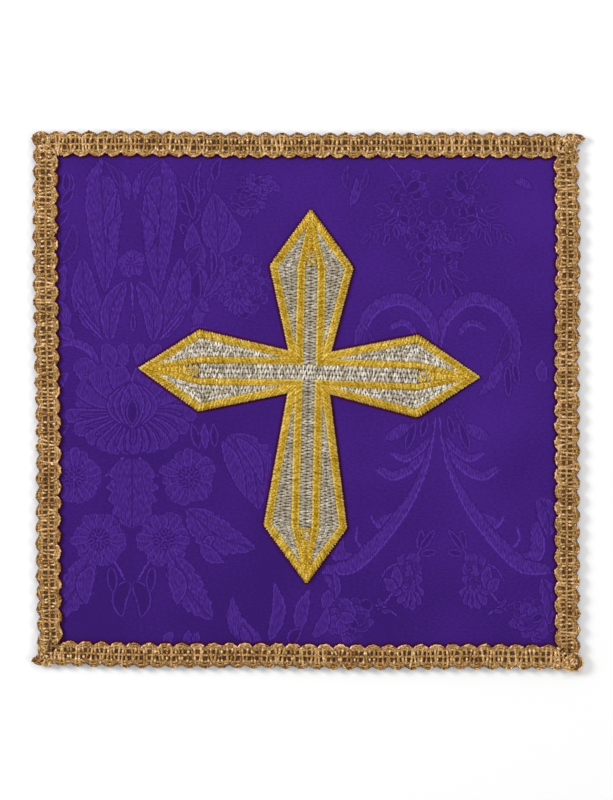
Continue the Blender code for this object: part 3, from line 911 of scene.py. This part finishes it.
braidDetails = {
    "width": 8.1,
    "scallop": 5.17,
    "ribsPerScallop": 4,
    "outerDepth": 1.45,
    "innerDepth": 1.4,
    "fullness": 0.75,
    "outerFullness": 1.1,
    "bodyBottom": 1.55,
    "bodyTop": 2.3,
    # a rib from the free edge to the cloth edge: share of the way, top, radius
    "rib": (
        (0.0, 2.5, 0.3), (0.13, 2.85, 0.4), (0.3, 3.05, 0.47), (0.43, 2.95, 0.43), (0.52, 2.85, 0.38),
        (0.62, 2.95, 0.43), (0.74, 3.05, 0.47), (0.88, 2.8, 0.4), (1.0, 2.45, 0.3),
    ),
    "ribFan": 0.38,
    "ribStray": 0.38,
    "ribThickness": (0.8, 1.22),
    "ribTone": (0.25, 0.6),
    "shortestRib": 1.5,
    # cords that run along under the ribs: in from the free edge, how far they follow each edge, radius, top
    "cords": (
        (1.0, 1.0, 0.0, 0.42, 2.7), (2.0, 0.3, 0.0, 0.5, 2.72), (4.25, 0.0, 0.0, 0.48, 2.8),
        (6.35, 0.0, 0.4, 0.5, 2.72), (7.2, 0.0, 1.0, 0.42, 2.7),
    ),
    "cordSteps": 6,         # for each scallop
    "cordSway": 0.22,
    # painted highlights: where a rib's film would face the light, a short bright bead is laid on it
    "glint": {"share": 0.4, "stations": (2, 6), "length": 1.0, "radius": 0.4, "top": 3.16, "tone": (0.7, 1.05)},
    "bead": {"pitch": 0.95, "overlap": 1.12, "length": 1.35, "radius": 0.3, "bright": 1.05, "swell": 1.15},
    # both edges are a twisted cord, shown as slanting beads, the free edge first: hand, margin at the ends, slack,
    # thickness, tone, share of bright ones, top
    "edges": (
        (1, 0.6, (-0.16, 0.1), (0.6, 0.95), (0.15, 0.5), 0.12, 2.65),
        (-1, 7.7, (-0.08, 0.08), (0.8, 1.05), (0.3, 0.65), 0.36, 2.8),
    ),
    # a thin thread that stands loose over most free scallops
    "loop": {"share": 0.75, "radius": 0.14, "reach": 0.35, "top": 2.3, "rise": 0.2, "tone": (0.0, 0.5), "steps": 6},
}


def scallop(share, fullness=braidDetails["fullness"]):
    return abs(math.sin(math.pi * share)) ** fullness


def edgeAt(share, hand, offset):
    if hand > 0:
        return braidDetails["outerDepth"] * (1 - scallop(share, braidDetails["outerFullness"])) + offset
    return braidDetails["width"] - braidDetails["innerDepth"] * (1 - scallop(share + 0.5)) - offset


def scallopCount(index):
    return round(sideAxes(index)[1] / braidDetails["scallop"])


# The braids' cloth edge as one closed line, this far past it on the cloth.
def braidRim(beyond):
    points = []
    for index in range(4):
        length = sideAxes(index)[1]
        pitch = length / scallopCount(index)
        margin = braidDetails["width"] - 0.3 + beyond
        count = int((length - 2 * margin) / pitch * 8)
        for step in range(count):
            distance = margin + (length - 2 * margin) * step / count
            inwards = max(edgeAt(distance / pitch, -1, -beyond), margin if step == 0 else 0)
            points.append(sidePoint(index, distance, inwards))
    return points


def layBead(shape, middle, along, length, radius, top, tone):
    along = Vector((*along.normalized(), 0)) * length / 2
    centre = Vector((*middle, top - radius))
    shares = ((-1, 0.2), (-0.4, 0), (0.4, 0), (1, 0.2))
    path = [centre + along * share - Vector((0, 0, drop)) for share, drop in shares]
    layThread(shape, path, [radius * 0.55, radius, radius, radius * 0.55], tone, sides=5)


def layRib(shape, index, distance, share, low, high):
    details, glint = braidDetails, braidDetails["glint"]
    fan = details["ribFan"] * math.sin(2 * math.pi * share)
    strays = [dice.uniform(-1, 1) * details["ribStray"] for _ in range(3)]
    thick = dice.uniform(*details["ribThickness"])
    base = dice.uniform(*details["ribTone"]) + 0.2 * noise.noise(Vector((distance / 9, index, 2.5)))
    glints = [dice.random() < glint["share"] for _ in glint["stations"]]
    path, radii, tones = [], [], []
    for part, top, radius in details["rib"]:
        inwards = low + (high - low) * part
        sway = strays[0] * (1 - part) + strays[1] * part + strays[2] * math.sin(math.pi * part)
        along = distance - fan * (1 - 2 * part) + sway
        radius *= thick
        path.append(Vector((*sidePoint(index, along, inwards), top - radius + dice.uniform(-0.06, 0.02))))
        radii.append(radius)
        tones.append(base + dice.uniform(-0.12, 0.12) - (0.1 if abs(part - 0.5) < 0.1 else 0.0))
    layThread(shape, path, radii, tones)
    # Painted highlights: short bright beads on some ribs.
    for shines, station in zip(glints, glint["stations"]):
        if shines:
            lean = Vector((dice.uniform(-0.3, 0.3), dice.uniform(-0.3, 0.3)))
            layBead(
                shape, path[station].to_2d(), (path[station + 1] - path[station - 1]).to_2d().normalized() + lean,
                glint["length"] * dice.uniform(0.8, 1.2), glint["radius"] * dice.uniform(0.8, 1.1),
                glint["top"] - dice.uniform(0, 0.06), dice.uniform(*glint["tone"]),
            )


def layCord(shape, index, length, pitch, inwards, outerWave, innerWave, radius, top):
    details, steps = braidDetails, braidDetails["cordSteps"]
    first = math.ceil((inwards + 0.3) / pitch * steps)
    last = math.floor((length - inwards - 0.3) / pitch * steps)
    path, tones = [], []
    for station in range(first, last + 1):
        share = station / steps
        drift = details["cordSway"] * noise.noise(Vector((share * 1.7, inwards, index)))
        drift += outerWave * details["outerDepth"] * (1 - scallop(share))
        drift -= innerWave * details["innerDepth"] * (1 - scallop(share + 0.5))
        path.append(Vector((*sidePoint(index, share * pitch, inwards + drift), top - radius)))
        tones.append(0.35 + 0.3 * noise.noise(Vector((share * 4.3, inwards, 6))))
    layThread(shape, path, radius, tones)


def layEdge(shape, index, length, pitch, hand, margin, slacks, thickness, tones, bright, top):
    bead, inner = braidDetails["bead"], sideAxes(index)[3]
    beads = int((length - 2 * margin) * bead["overlap"] / bead["pitch"])
    for number in range(beads):
        distance = margin + (length - 2 * margin) * (number + dice.uniform(-0.2, 0.2)) / beads
        here, after = (
            sidePoint(index, distance + ahead, edgeAt(distance / pitch + ahead / pitch, hand, bead["radius"]))
            for ahead in (-0.15, 0.15)
        )
        slack = dice.uniform(*slacks)
        slant = dice.uniform(0.1, 0.6) * (1 if number % 5 else -1)
        radius = bead["radius"] * dice.uniform(*thickness)
        tone = dice.uniform(*tones)
        if dice.random() < bright:
            tone, radius = bead["bright"], radius * bead["swell"]
        layBead(
            shape, (here + after) / 2 + inner * slack * hand, (after - here).normalized() + inner * slant * hand,
            bead["length"] * dice.uniform(0.8, 1.15), radius, top, tone,
        )


def layLoops(shape, index, count, pitch):
    loop = braidDetails["loop"]
    for number in range(count):
        if dice.random() < 1 - loop["share"] or not 1 < number < count - 1:
            continue
        low, high = dice.uniform(0.05, 0.25), dice.uniform(0.75, 0.95)
        reach = dice.uniform(0.0, loop["reach"])
        path = []
        for step in range(loop["steps"] + 1):
            share = number + low + (high - low) * step / loop["steps"]
            swell = math.sin(math.pi * step / loop["steps"])
            place = sidePoint(index, share * pitch, edgeAt(share, 1, 0.3) - reach * swell)
            path.append(Vector((*place, loop["top"] + loop["rise"] * swell)))
        layThread(shape, path, loop["radius"], dice.uniform(*loop["tone"]), sides=5)


def makeBraid(index, materials):
    details, side = braidDetails, veilPlan["sides"][index]
    shape = bodyFromNode("braid_" + side, details["bodyBottom"], details["bodyTop"])
    length = sideAxes(index)[1]
    count = scallopCount(index)
    pitch = length / count
    ribPitch = pitch / details["ribsPerScallop"]
    for number in range(count * details["ribsPerScallop"]):
        distance = (number + 0.5) * ribPitch
        share = distance / pitch
        room = min(distance, length - distance) + 0.4
        low, high = edgeAt(share, 1, 0.45), min(edgeAt(share, -1, 0.4), room)
        if high - low >= details["shortestRib"]:
            layRib(shape, index, distance, share, low, high)
    for cord in details["cords"]:
        layCord(shape, index, length, pitch, *cord)
    for edge in details["edges"]:
        layEdge(shape, index, length, pitch, *edge)
    layLoops(shape, index, count, pitch)
    for owner, *bunch in cornerBunches:
        if owner == index:
            bunchCord(shape, *bunch)
    for owner, points, radius, top, tone, material in cornerThreads:
        if owner == index:
            before = len(shape.faces)
            path = [Vector((*point, top - radius)) for point in smoothLine(points, 10)]
            layThread(shape, path, radius, tone, sides=5)
            shape.faces.ensure_lookup_table()
            for face in shape.faces[before:]:
                face.material_index = material
    moveToFrame(shape)
    return finishPiece("gimp" + side.capitalize(), shape, materials, "braid_" + side)


# Where two lengths meet, the cord is bunched: beads strewn over an ellipse, with loops round its rim. Each has
# side, centre, radii, beads, loops, tone and top.
cornerBunches = (
    (0, (-83.2, 80.6), (4.3, 4.3), 46, 0, 0.45, 3.1), (0, (-86.1, 83.6), (1.7, 2.0), 12, 3, 0.12, 3.15),
    (0, (83.0, 80.9), (4.4, 4.3), 46, 0, 0.45, 3.1), (0, (86.0, 83.9), (2.4, 1.2), 14, 1, 0.25, 2.9),
    (2, (83.1, -82.3), (4.3, 4.3), 46, 0, 0.4, 3.1), (2, (85.2, -84.2), (3.1, 2.4), 22, 2, 0.45, 3.15),
    (2, (-82.5, -80.6), (4.4, 4.3), 46, 0, 0.4, 3.1), (2, (-85.6, -83.2), (2.2, 1.2), 12, 1, 0.15, 2.85),
)

# Single threads there: side, points, radius, top, tone, and 1 for the dark core that shows between two turns.
cornerThreads = (
    (2, ((-81.9, -76.6), (-82.5, -78.2), (-82.8, -80.4)), 0.4, 3.2, 0.3, 1),
    (2, ((86.0, -81.4), (86.9, -83.0), (86.8, -84.8), (85.8, -86.2)), 0.4, 3.2, 0.3, 1),
    (2, ((84.8, -80.6), (87.2, -81.4), (88.3, -83.6), (87.6, -85.9), (84.8, -86.7), (82, -86)), 0.24, 2.8, 0.95, 0),
    (2, ((85.6, -80.2), (87.8, -82.0), (88.1, -84.6), (86.2, -86.6)), 0.18, 2.4, 0.8, 0),
)


def bunchCord(shape, centre, radii, beads, loops, tone, top):
    wide, tall = radii
    for _ in range(beads):
        angle, away = dice.uniform(0, 2 * math.pi), math.sqrt(dice.random()) * 0.92
        middle = Vector(centre) + Vector((math.cos(angle) * wide, math.sin(angle) * tall)) * away
        turn = dice.uniform(0, math.pi)
        beadTone = tone + dice.uniform(-0.25, 0.25) + (0.5 if dice.random() < 0.2 else 0)
        layBead(
            shape, middle, unitAt(turn), dice.uniform(1.1, 2.2), dice.uniform(0.28, 0.42),
            top - 0.35 * away ** 2 - dice.uniform(0, 0.15), beadTone,
        )
    for ring in range(loops):
        path, tones = [], []
        start = dice.uniform(0, 6)
        for step in range(15):
            angle = start + step / 14 * math.radians(330)
            grow = (1 - 0.3 * ring) * (1 + 0.08 * math.sin(3 * angle + ring))
            x, y = centre[0] + math.cos(angle) * wide * grow, centre[1] + math.sin(angle) * tall * grow
            path.append(Vector((x, y, top - 0.75 + 0.3 * ring)))
            tones.append(tone + 0.2 * math.sin(5 * angle))
        layThread(shape, path, 0.3, tones)


# Embroidery

goldDetails = {
    "paddingBottom": 1.3,
    "paddingTop": 2.0,
    "pitch": 0.43,
    "radius": 0.25,
    "crest": 3.12,
    "foot": 1.95,
    "tooth": 0.22,          # every other stitch reaches this much further
    "heart": 4.6,           # silver and gold mix for this far past the silver bar
    "tone": (0.28, 0.62),
    "glint": 0.3,           # a painted highlight, added to every third stitch
    "arch": 2.6,
    # loose stitches in the heart, laid with the gold and with the silver
    "dash": {"gold": 44, "silver": 24, "length": (1.0, 1.7), "radius": 0.23, "top": 2.92, "tone": (0.25, 0.7)},
}

silverDetails = {
    "paddingBottom": 2.0,
    "paddingTop": 2.12,
    "pitch": 0.55,          # a zig and a zag take 1.1
    "radius": 0.27,
    "crest": 2.55,
    "foot": 2.15,
    # stitches in the arms that lie across, then in the upright ones; their tones paint light and shade by direction,
    # the across arms lighter and more contrasty, the upright ones duller
    "rows": (
        {"length": 1.45, "stray": 0.1, "thick": 1.0, "tone": (0.24, 0.92), "bright": 0.35, "taper": 0.65, "fade": 0.2},
        {"length": 1.75, "stray": 0.05, "thick": 0.92, "tone": (0.35, 0.66), "bright": 0.2, "taper": 0.75, "fade": 0.1},
    ),
    "brightShare": 0.08,
    "middleLift": 0.2,      # how much brighter the stitches at the cross's middle are
    "shortest": 0.5,
}


# Short stitches at all angles between two gold bars, from one place out along the arm to another.
def strewDashes(shape, arm, start, end, halfWidth, count):
    dash = goldDetails["dash"]
    for number in range(count):
        out = start + (end - start) * (number + 0.5) / count
        aside = dice.uniform(-0.8, 0.8) * (halfWidth - 0.3)
        lean = dice.uniform(-0.3, 0.3)
        layBead(
            shape, onBlade(arm, out, aside), onArm(arm, lean, 1) - onArm(arm, 0, 0), dice.uniform(*dash["length"]),
            dash["radius"], dash["top"] - dice.uniform(0, 0.2), dice.uniform(*dash["tone"]),
        )


def satinStitch(shape, start, end, tooth, tone, glint):
    details = goldDetails
    radius = details["radius"] * dice.uniform(0.88, 1.1)
    run = (end - start).normalized()
    start = start - run * tooth
    end = end + run * dice.uniform(-0.05, 0.1)
    bow = leftOf(run) * dice.uniform(-0.06, 0.06)
    crest = details["crest"] - radius - dice.uniform(0, 0.1)
    path = []
    for share in (0, 0.12, 0.3, 0.7, 0.88, 1):
        arch = (1 - abs(2 * share - 1) ** details["arch"])
        point = start.lerp(end, share) + bow * arch
        path.append(Vector((*point, details["foot"] + (crest - details["foot"]) * arch)))
    # Painted highlight and shade: stitches that lie crosswise get light ends and a darker middle, as if they shone only
    # where they turn down at their ends, and the others carry their glint along the middle.
    crosswise = abs(run.x)
    middle = tone - 0.05 - 0.02 * crosswise + (glint * (1 - crosswise))
    ends = tone - 0.1 + (0.4 + 3 * glint) * crosswise
    layThread(shape, path, radius, [ends, ends, middle, middle, ends, ends], sides=5)


# Where the stitches of one column start and end, and how many there are.
def stitchPlan(firstLine, secondLine, pitch):
    (a, b), (c, d) = firstLine, secondLine
    count = max(int(max((b - a).length, (d - c).length) / pitch), 2)
    return count, lambda share: (a.lerp(b, share), c.lerp(d, share))


def satinColumn(shape, outerLine, innerLine, toothed=True):
    details = goldDetails
    count, endsAt = stitchPlan(outerLine, innerLine, details["pitch"])
    for number in range(count):
        share = (number + 0.5 + dice.uniform(-0.15, 0.15)) / count
        tooth = details["tooth"] * (number % 2) + dice.uniform(-0.05, 0.12) if toothed else dice.uniform(-0.1, 0.05)
        # Every third stitch carries a painted highlight.
        glint = details["glint"] if number % 3 == 0 else 0.0
        satinStitch(shape, *endsAt(share), tooth, dice.uniform(*details["tone"]), glint)


def makeGold(materials):
    details = goldDetails
    shape = feltPlate(crossOutline(0.25), details["paddingBottom"], details["paddingTop"])
    outer, inner = crossOutline(), crossOutline(crossPlan["borderWidth"])
    for i in range(16):
        satinColumn(shape, (outer[i - 1], outer[i]), (inner[i - 1], inner[i]))
    arms = crossPlan["arms"]
    for number, arm in enumerate(arms):
        reach, shoulder, _, silver = arm[1:5]
        bar = crossPlan["barOuter"]
        for hand in (1, -1):
            beside = arms[(number + hand) % 4][4]
            outerEnd, innerEnd = onArm(arm, shoulder, bar * hand), onArm(arm, shoulder, silver * hand)
            outerStart, innerStart = onArm(arm, bar, bar * hand), onArm(arm, beside, silver * hand)
            satinColumn(shape, (outerStart, outerEnd), (innerStart, innerEnd), False)
            outerTip, innerTip = onBlade(arm, reach - 3.2, 0.8 * hand), onBlade(arm, reach - 5.5, 0)
            satinColumn(shape, (outerEnd, outerTip), (innerEnd, innerTip), False)
        # The blade's heart: loose stitches over the silver, then close ones to the point.
        heart = shoulder + details["heart"]
        width = silver * (1 - details["heart"] / (reach - 6 - shoulder))
        first, second = (
            (onBlade(arm, heart, width * hand), onBlade(arm, reach - 3.4, 0.3 * hand)) for hand in (1, -1)
        )
        satinColumn(shape, first, second, False)
        strewDashes(shape, arm, shoulder + 0.3, heart + 0.6, silver, details["dash"]["gold"])
    moveToFrame(shape)
    return finishPiece("goldStitches", shape, materials, "gold_cross_border")


def silverField(shape, firstLine, secondLine, row, lift=0.0):
    details = silverDetails
    (a, b), (c, d) = firstLine, secondLine
    count, endsAt = stitchPlan(firstLine, secondLine, details["pitch"])
    step = (b - a + d - c) * 0.25 / count
    for number in range(count):
        start, end = endsAt((number + 0.5) / count)
        width = (end - start).length
        if width < details["shortest"]:
            continue
        rows = max(round(width / row["length"]), 1)
        for place in range(rows):
            hand = 1 if (number + place) % 2 else -1
            low, high = ((place + k) / rows + dice.uniform(-row["stray"], row["stray"]) / rows for k in (0, 1))
            sway = step * hand * dice.uniform(0.3, 0.95)
            stray = step * dice.uniform(-0.4, 0.4)
            first, last = start.lerp(end, low) - sway + stray, start.lerp(end, high) + sway + stray
            radius = details["radius"] * dice.uniform(0.85, 1.08) * row["thick"]
            crest = details["crest"] - radius * 0.5 - dice.uniform(0, 0.08)
            # Painted light and shade: the row's tones differ with the way the stitches lie.
            tone = lift + dice.uniform(*row["tone"])
            if dice.random() < details["brightShare"]:
                tone += row["bright"]
            path = [
                Vector((*first.lerp(last, part), details["foot"] + (crest - details["foot"]) * arch))
                for part, arch in ((0, 0), (0.2, 0.85), (0.8, 0.85), (1, 0))
            ]
            thin, dim = radius * row["taper"], tone - row["fade"]
            layThread(shape, path, [thin, radius, radius, thin], [dim, tone, tone, dim], 5)


def makeSilver(materials):
    details, gold = silverDetails, goldDetails
    shape = feltPlate(crossOutline(crossPlan["borderWidth"] - 0.4), details["paddingBottom"], details["paddingTop"])
    arms = crossPlan["arms"]
    neck = Vector((crossPlan["neck"],) * 2)
    bar = crossPlan["barOuter"]
    for number, arm in enumerate(arms):
        reach, shoulder, halfWidth, silver, tipAside, skew = arm[1:]
        beside = arms[(number + 1) % 4][4]
        row = details["rows"][number % 2]
        silverField(shape, *((onArm(arm, beside, side), onArm(arm, shoulder, side)) for side in (silver, -silver)), row)
        strewDashes(shape, arm, shoulder + 0.2, shoulder + gold["heart"], silver, gold["dash"]["silver"])
        for hand in (1, -1):
            corner, tip = Vector((shoulder + skew * hand, halfWidth)), Vector((reach, tipAside * hand))
            flank = shifted(neck, corner, -crossPlan["borderWidth"])
            slope = shifted(corner, tip, -crossPlan["borderWidth"])
            barLine = (Vector((0, bar)), Vector((shoulder, bar)))
            start = crossing(*flank, *barLine)
            peak = crossing(*flank, *slope)
            end = crossing(*slope, barLine[1], tip)
            turned = lambda point, hand=hand, arm=arm: onArm(arm, point.x, point.y * hand)
            foot = Vector((peak.x, bar))
            if peak.x >= shoulder:
                foot = crossing(peak, peak + Vector((0, 1)), barLine[1], tip)
            silverField(shape, (turned(start), turned(peak)), (turned(start), turned(foot)), row)
            silverField(shape, (turned(peak), turned(end)), (turned(foot), turned(end)), row)
    across, halfUpright = arms[0], arms[1][4]
    sides = (across[4], -across[4])
    middle = ((onArm(across, -halfUpright, side), onArm(across, halfUpright, side)) for side in sides)
    silverField(shape, *middle, details["rows"][0], details["middleLift"])
    moveToFrame(shape)
    return finishPiece("silverStitches", shape, materials, "silver_cross_fill")


# Setting

cameraSetup = {"lens": 135, "aim": (-0.16, 0.16), "seenHeight": 256.0, "planeHeight": 2.5}

lightSetup = {
    "world": 0.52,
    "lamps": (
        # place in metres, size in metres, watts
        ((-0.85, 0.3, 0.66), 0.35, 6.9),
        ((0.75, -0.25, 0.8), 0.35, 2.3),
        ((0.15, 0.5, 0.72), 0.35, 1.4),
    ),
}


def placeCamera():
    camera = bpy.data.objects.new("camera", bpy.data.cameras.new("camera"))
    bpy.context.scene.collection.objects.link(camera)
    camera.data.lens = cameraSetup["lens"]
    camera.data.clip_start = 0.01
    away = cameraSetup["seenHeight"] * cameraSetup["lens"] / camera.data.sensor_width
    camera.location = inFrame(*cameraSetup["aim"], away + cameraSetup["planeHeight"])
    bpy.context.scene.camera = camera


def placeLights():
    world = bpy.data.worlds.new("studio")
    bpy.context.scene.world = world
    world.use_nodes = True
    setInputs(world.node_tree.nodes["Background"], {"Color": (1, 1, 1, 1), "Strength": lightSetup["world"]})
    for number, (place, size, watts) in enumerate(lightSetup["lamps"]):
        lamp = bpy.data.lights.new(f"lamp{number}", "AREA")
        lamp.size = size
        lamp.energy = watts
        holder = bpy.data.objects.new(f"lamp{number}", lamp)
        bpy.context.scene.collection.objects.link(holder)
        holder.location = place
        holder.rotation_euler = (-Vector(place)).to_track_quat("-Z", "Y").to_euler()
    bpy.context.scene.view_settings.view_transform = "Standard"


def makeFloor():
    shape = bmesh.new()
    bmesh.ops.create_grid(shape, x_segments=2, y_segments=2, size=3)
    mesh = bpy.data.meshes.new("floor")
    shape.to_mesh(mesh)
    shape.free()
    # A matt white board, which takes the veil's soft shadows.
    material, _, shader = newMaterial("matBoard")
    setInputs(shader, {"Roughness": 0.9, "Specular IOR Level": 0.1, "Base Color": linearColour("#FAFAFA")})
    mesh.materials.append(material)
    floor = bpy.data.objects.new("floor", mesh)
    floor.location.z = -0.00002
    bpy.context.scene.collection.objects.link(floor)


def main():
    placeCamera()
    placeLights()
    makeFloor()
    drawDamask()
    print(f"damask: {len(figures)} figures")
    gimp, gold, silver = (
        [threadMaterial(look["thread"], **look["film"]), paddingMaterial(**look["padding"])]
        for look in threadLooks
    )
    braids = [makeBraid(index, gimp) for index in range(4)]
    goldStitches = makeGold(gold)
    silverStitches = makeSilver(silver)
    cloth = makeCloth(damaskMaterial(damaskLook))


main()
